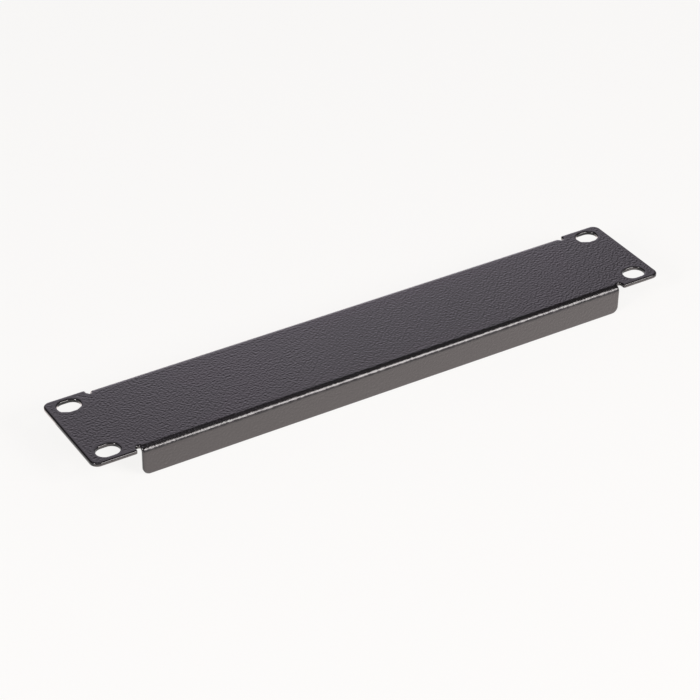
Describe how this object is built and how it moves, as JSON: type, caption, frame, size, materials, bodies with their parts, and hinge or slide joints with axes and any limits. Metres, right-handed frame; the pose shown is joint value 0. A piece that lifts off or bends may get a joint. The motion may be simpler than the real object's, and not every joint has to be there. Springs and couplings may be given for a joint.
{
  "type": "rack blanking panel",
  "caption": "Flat filler panel folded from sheet steel, with slotted end tabs that screw to rack rails and stiffening flanges folded back along its long edges.",
  "frame": {"origin": "middle of the slot pattern on the rear face, the plane that seats on the rack rails", "axes": "+X along the panel, +Y up the rack, +Z out of the front face; stored lying face up on the free edges of its flanges"},
  "size_m": [0.254, 0.0436, 0.0123],
  "materials": {
    "textured_black_coat": "satin"
  },
  "bodies": {
    "root": {"blanking_panel": "textured_black_coat"}
  },
  "joints": []
}
